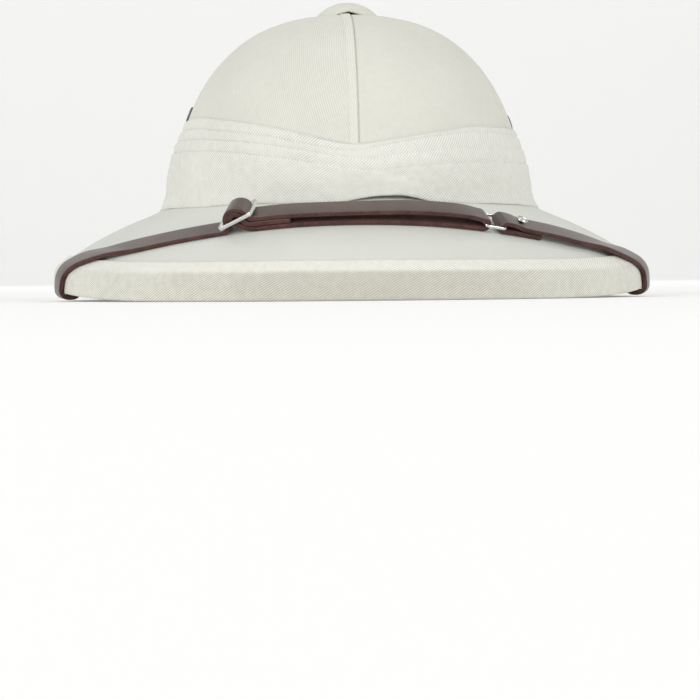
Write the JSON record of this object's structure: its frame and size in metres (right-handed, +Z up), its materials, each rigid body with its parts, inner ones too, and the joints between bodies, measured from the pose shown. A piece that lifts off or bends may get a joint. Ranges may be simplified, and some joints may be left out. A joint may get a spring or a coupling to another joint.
{
  "type": "pith helmet",
  "caption": "White cloth-covered sun helmet with a domed crown, sloping brim, pleated band, vented top cap and a leather chin strap stowed over the brim.",
  "frame": {"origin": "on the ground, under the middle of the rim", "axes": "+Z up, the helmet's front faces -Y, +X is on the right as seen from the front, and left and right in node names are as seen from the front"},
  "size_m": [0.2974, 0.3354, 0.1492],
  "materials": {
    "helmet_twill": "off-white cotton twill glued over pressed pith, matt",
    "binding_twill": "off-white diagonal twill tape, matt",
    "puggaree_twill": "pleated off-white cotton twill, matt",
    "strap_leather": "dark brown smooth grain with a soft sheen and a redder raw edge",
    "nickel": "polished nickel plate",
    "dark_nickel": "dull dark metal"
  },
  "bodies": {
    "root": {"crown": "helmet_twill", "brim": "helmet_twill", "rim_binding": "binding_twill", "puggaree": "puggaree_twill", "vent_cap": "helmet_twill", "vent_cap_stem": "nickel", "vent_eyelet_left": "dark_nickel", "vent_eyelet_right": "dark_nickel", "chin_strap_long": "strap_leather", "chin_strap_short": "strap_leather", "slide_buckle": "nickel", "link_ring": "nickel", "strap_stud": "nickel", "strap_post_left": "nickel", "strap_post_right": "nickel"}
  },
  "joints": []
}
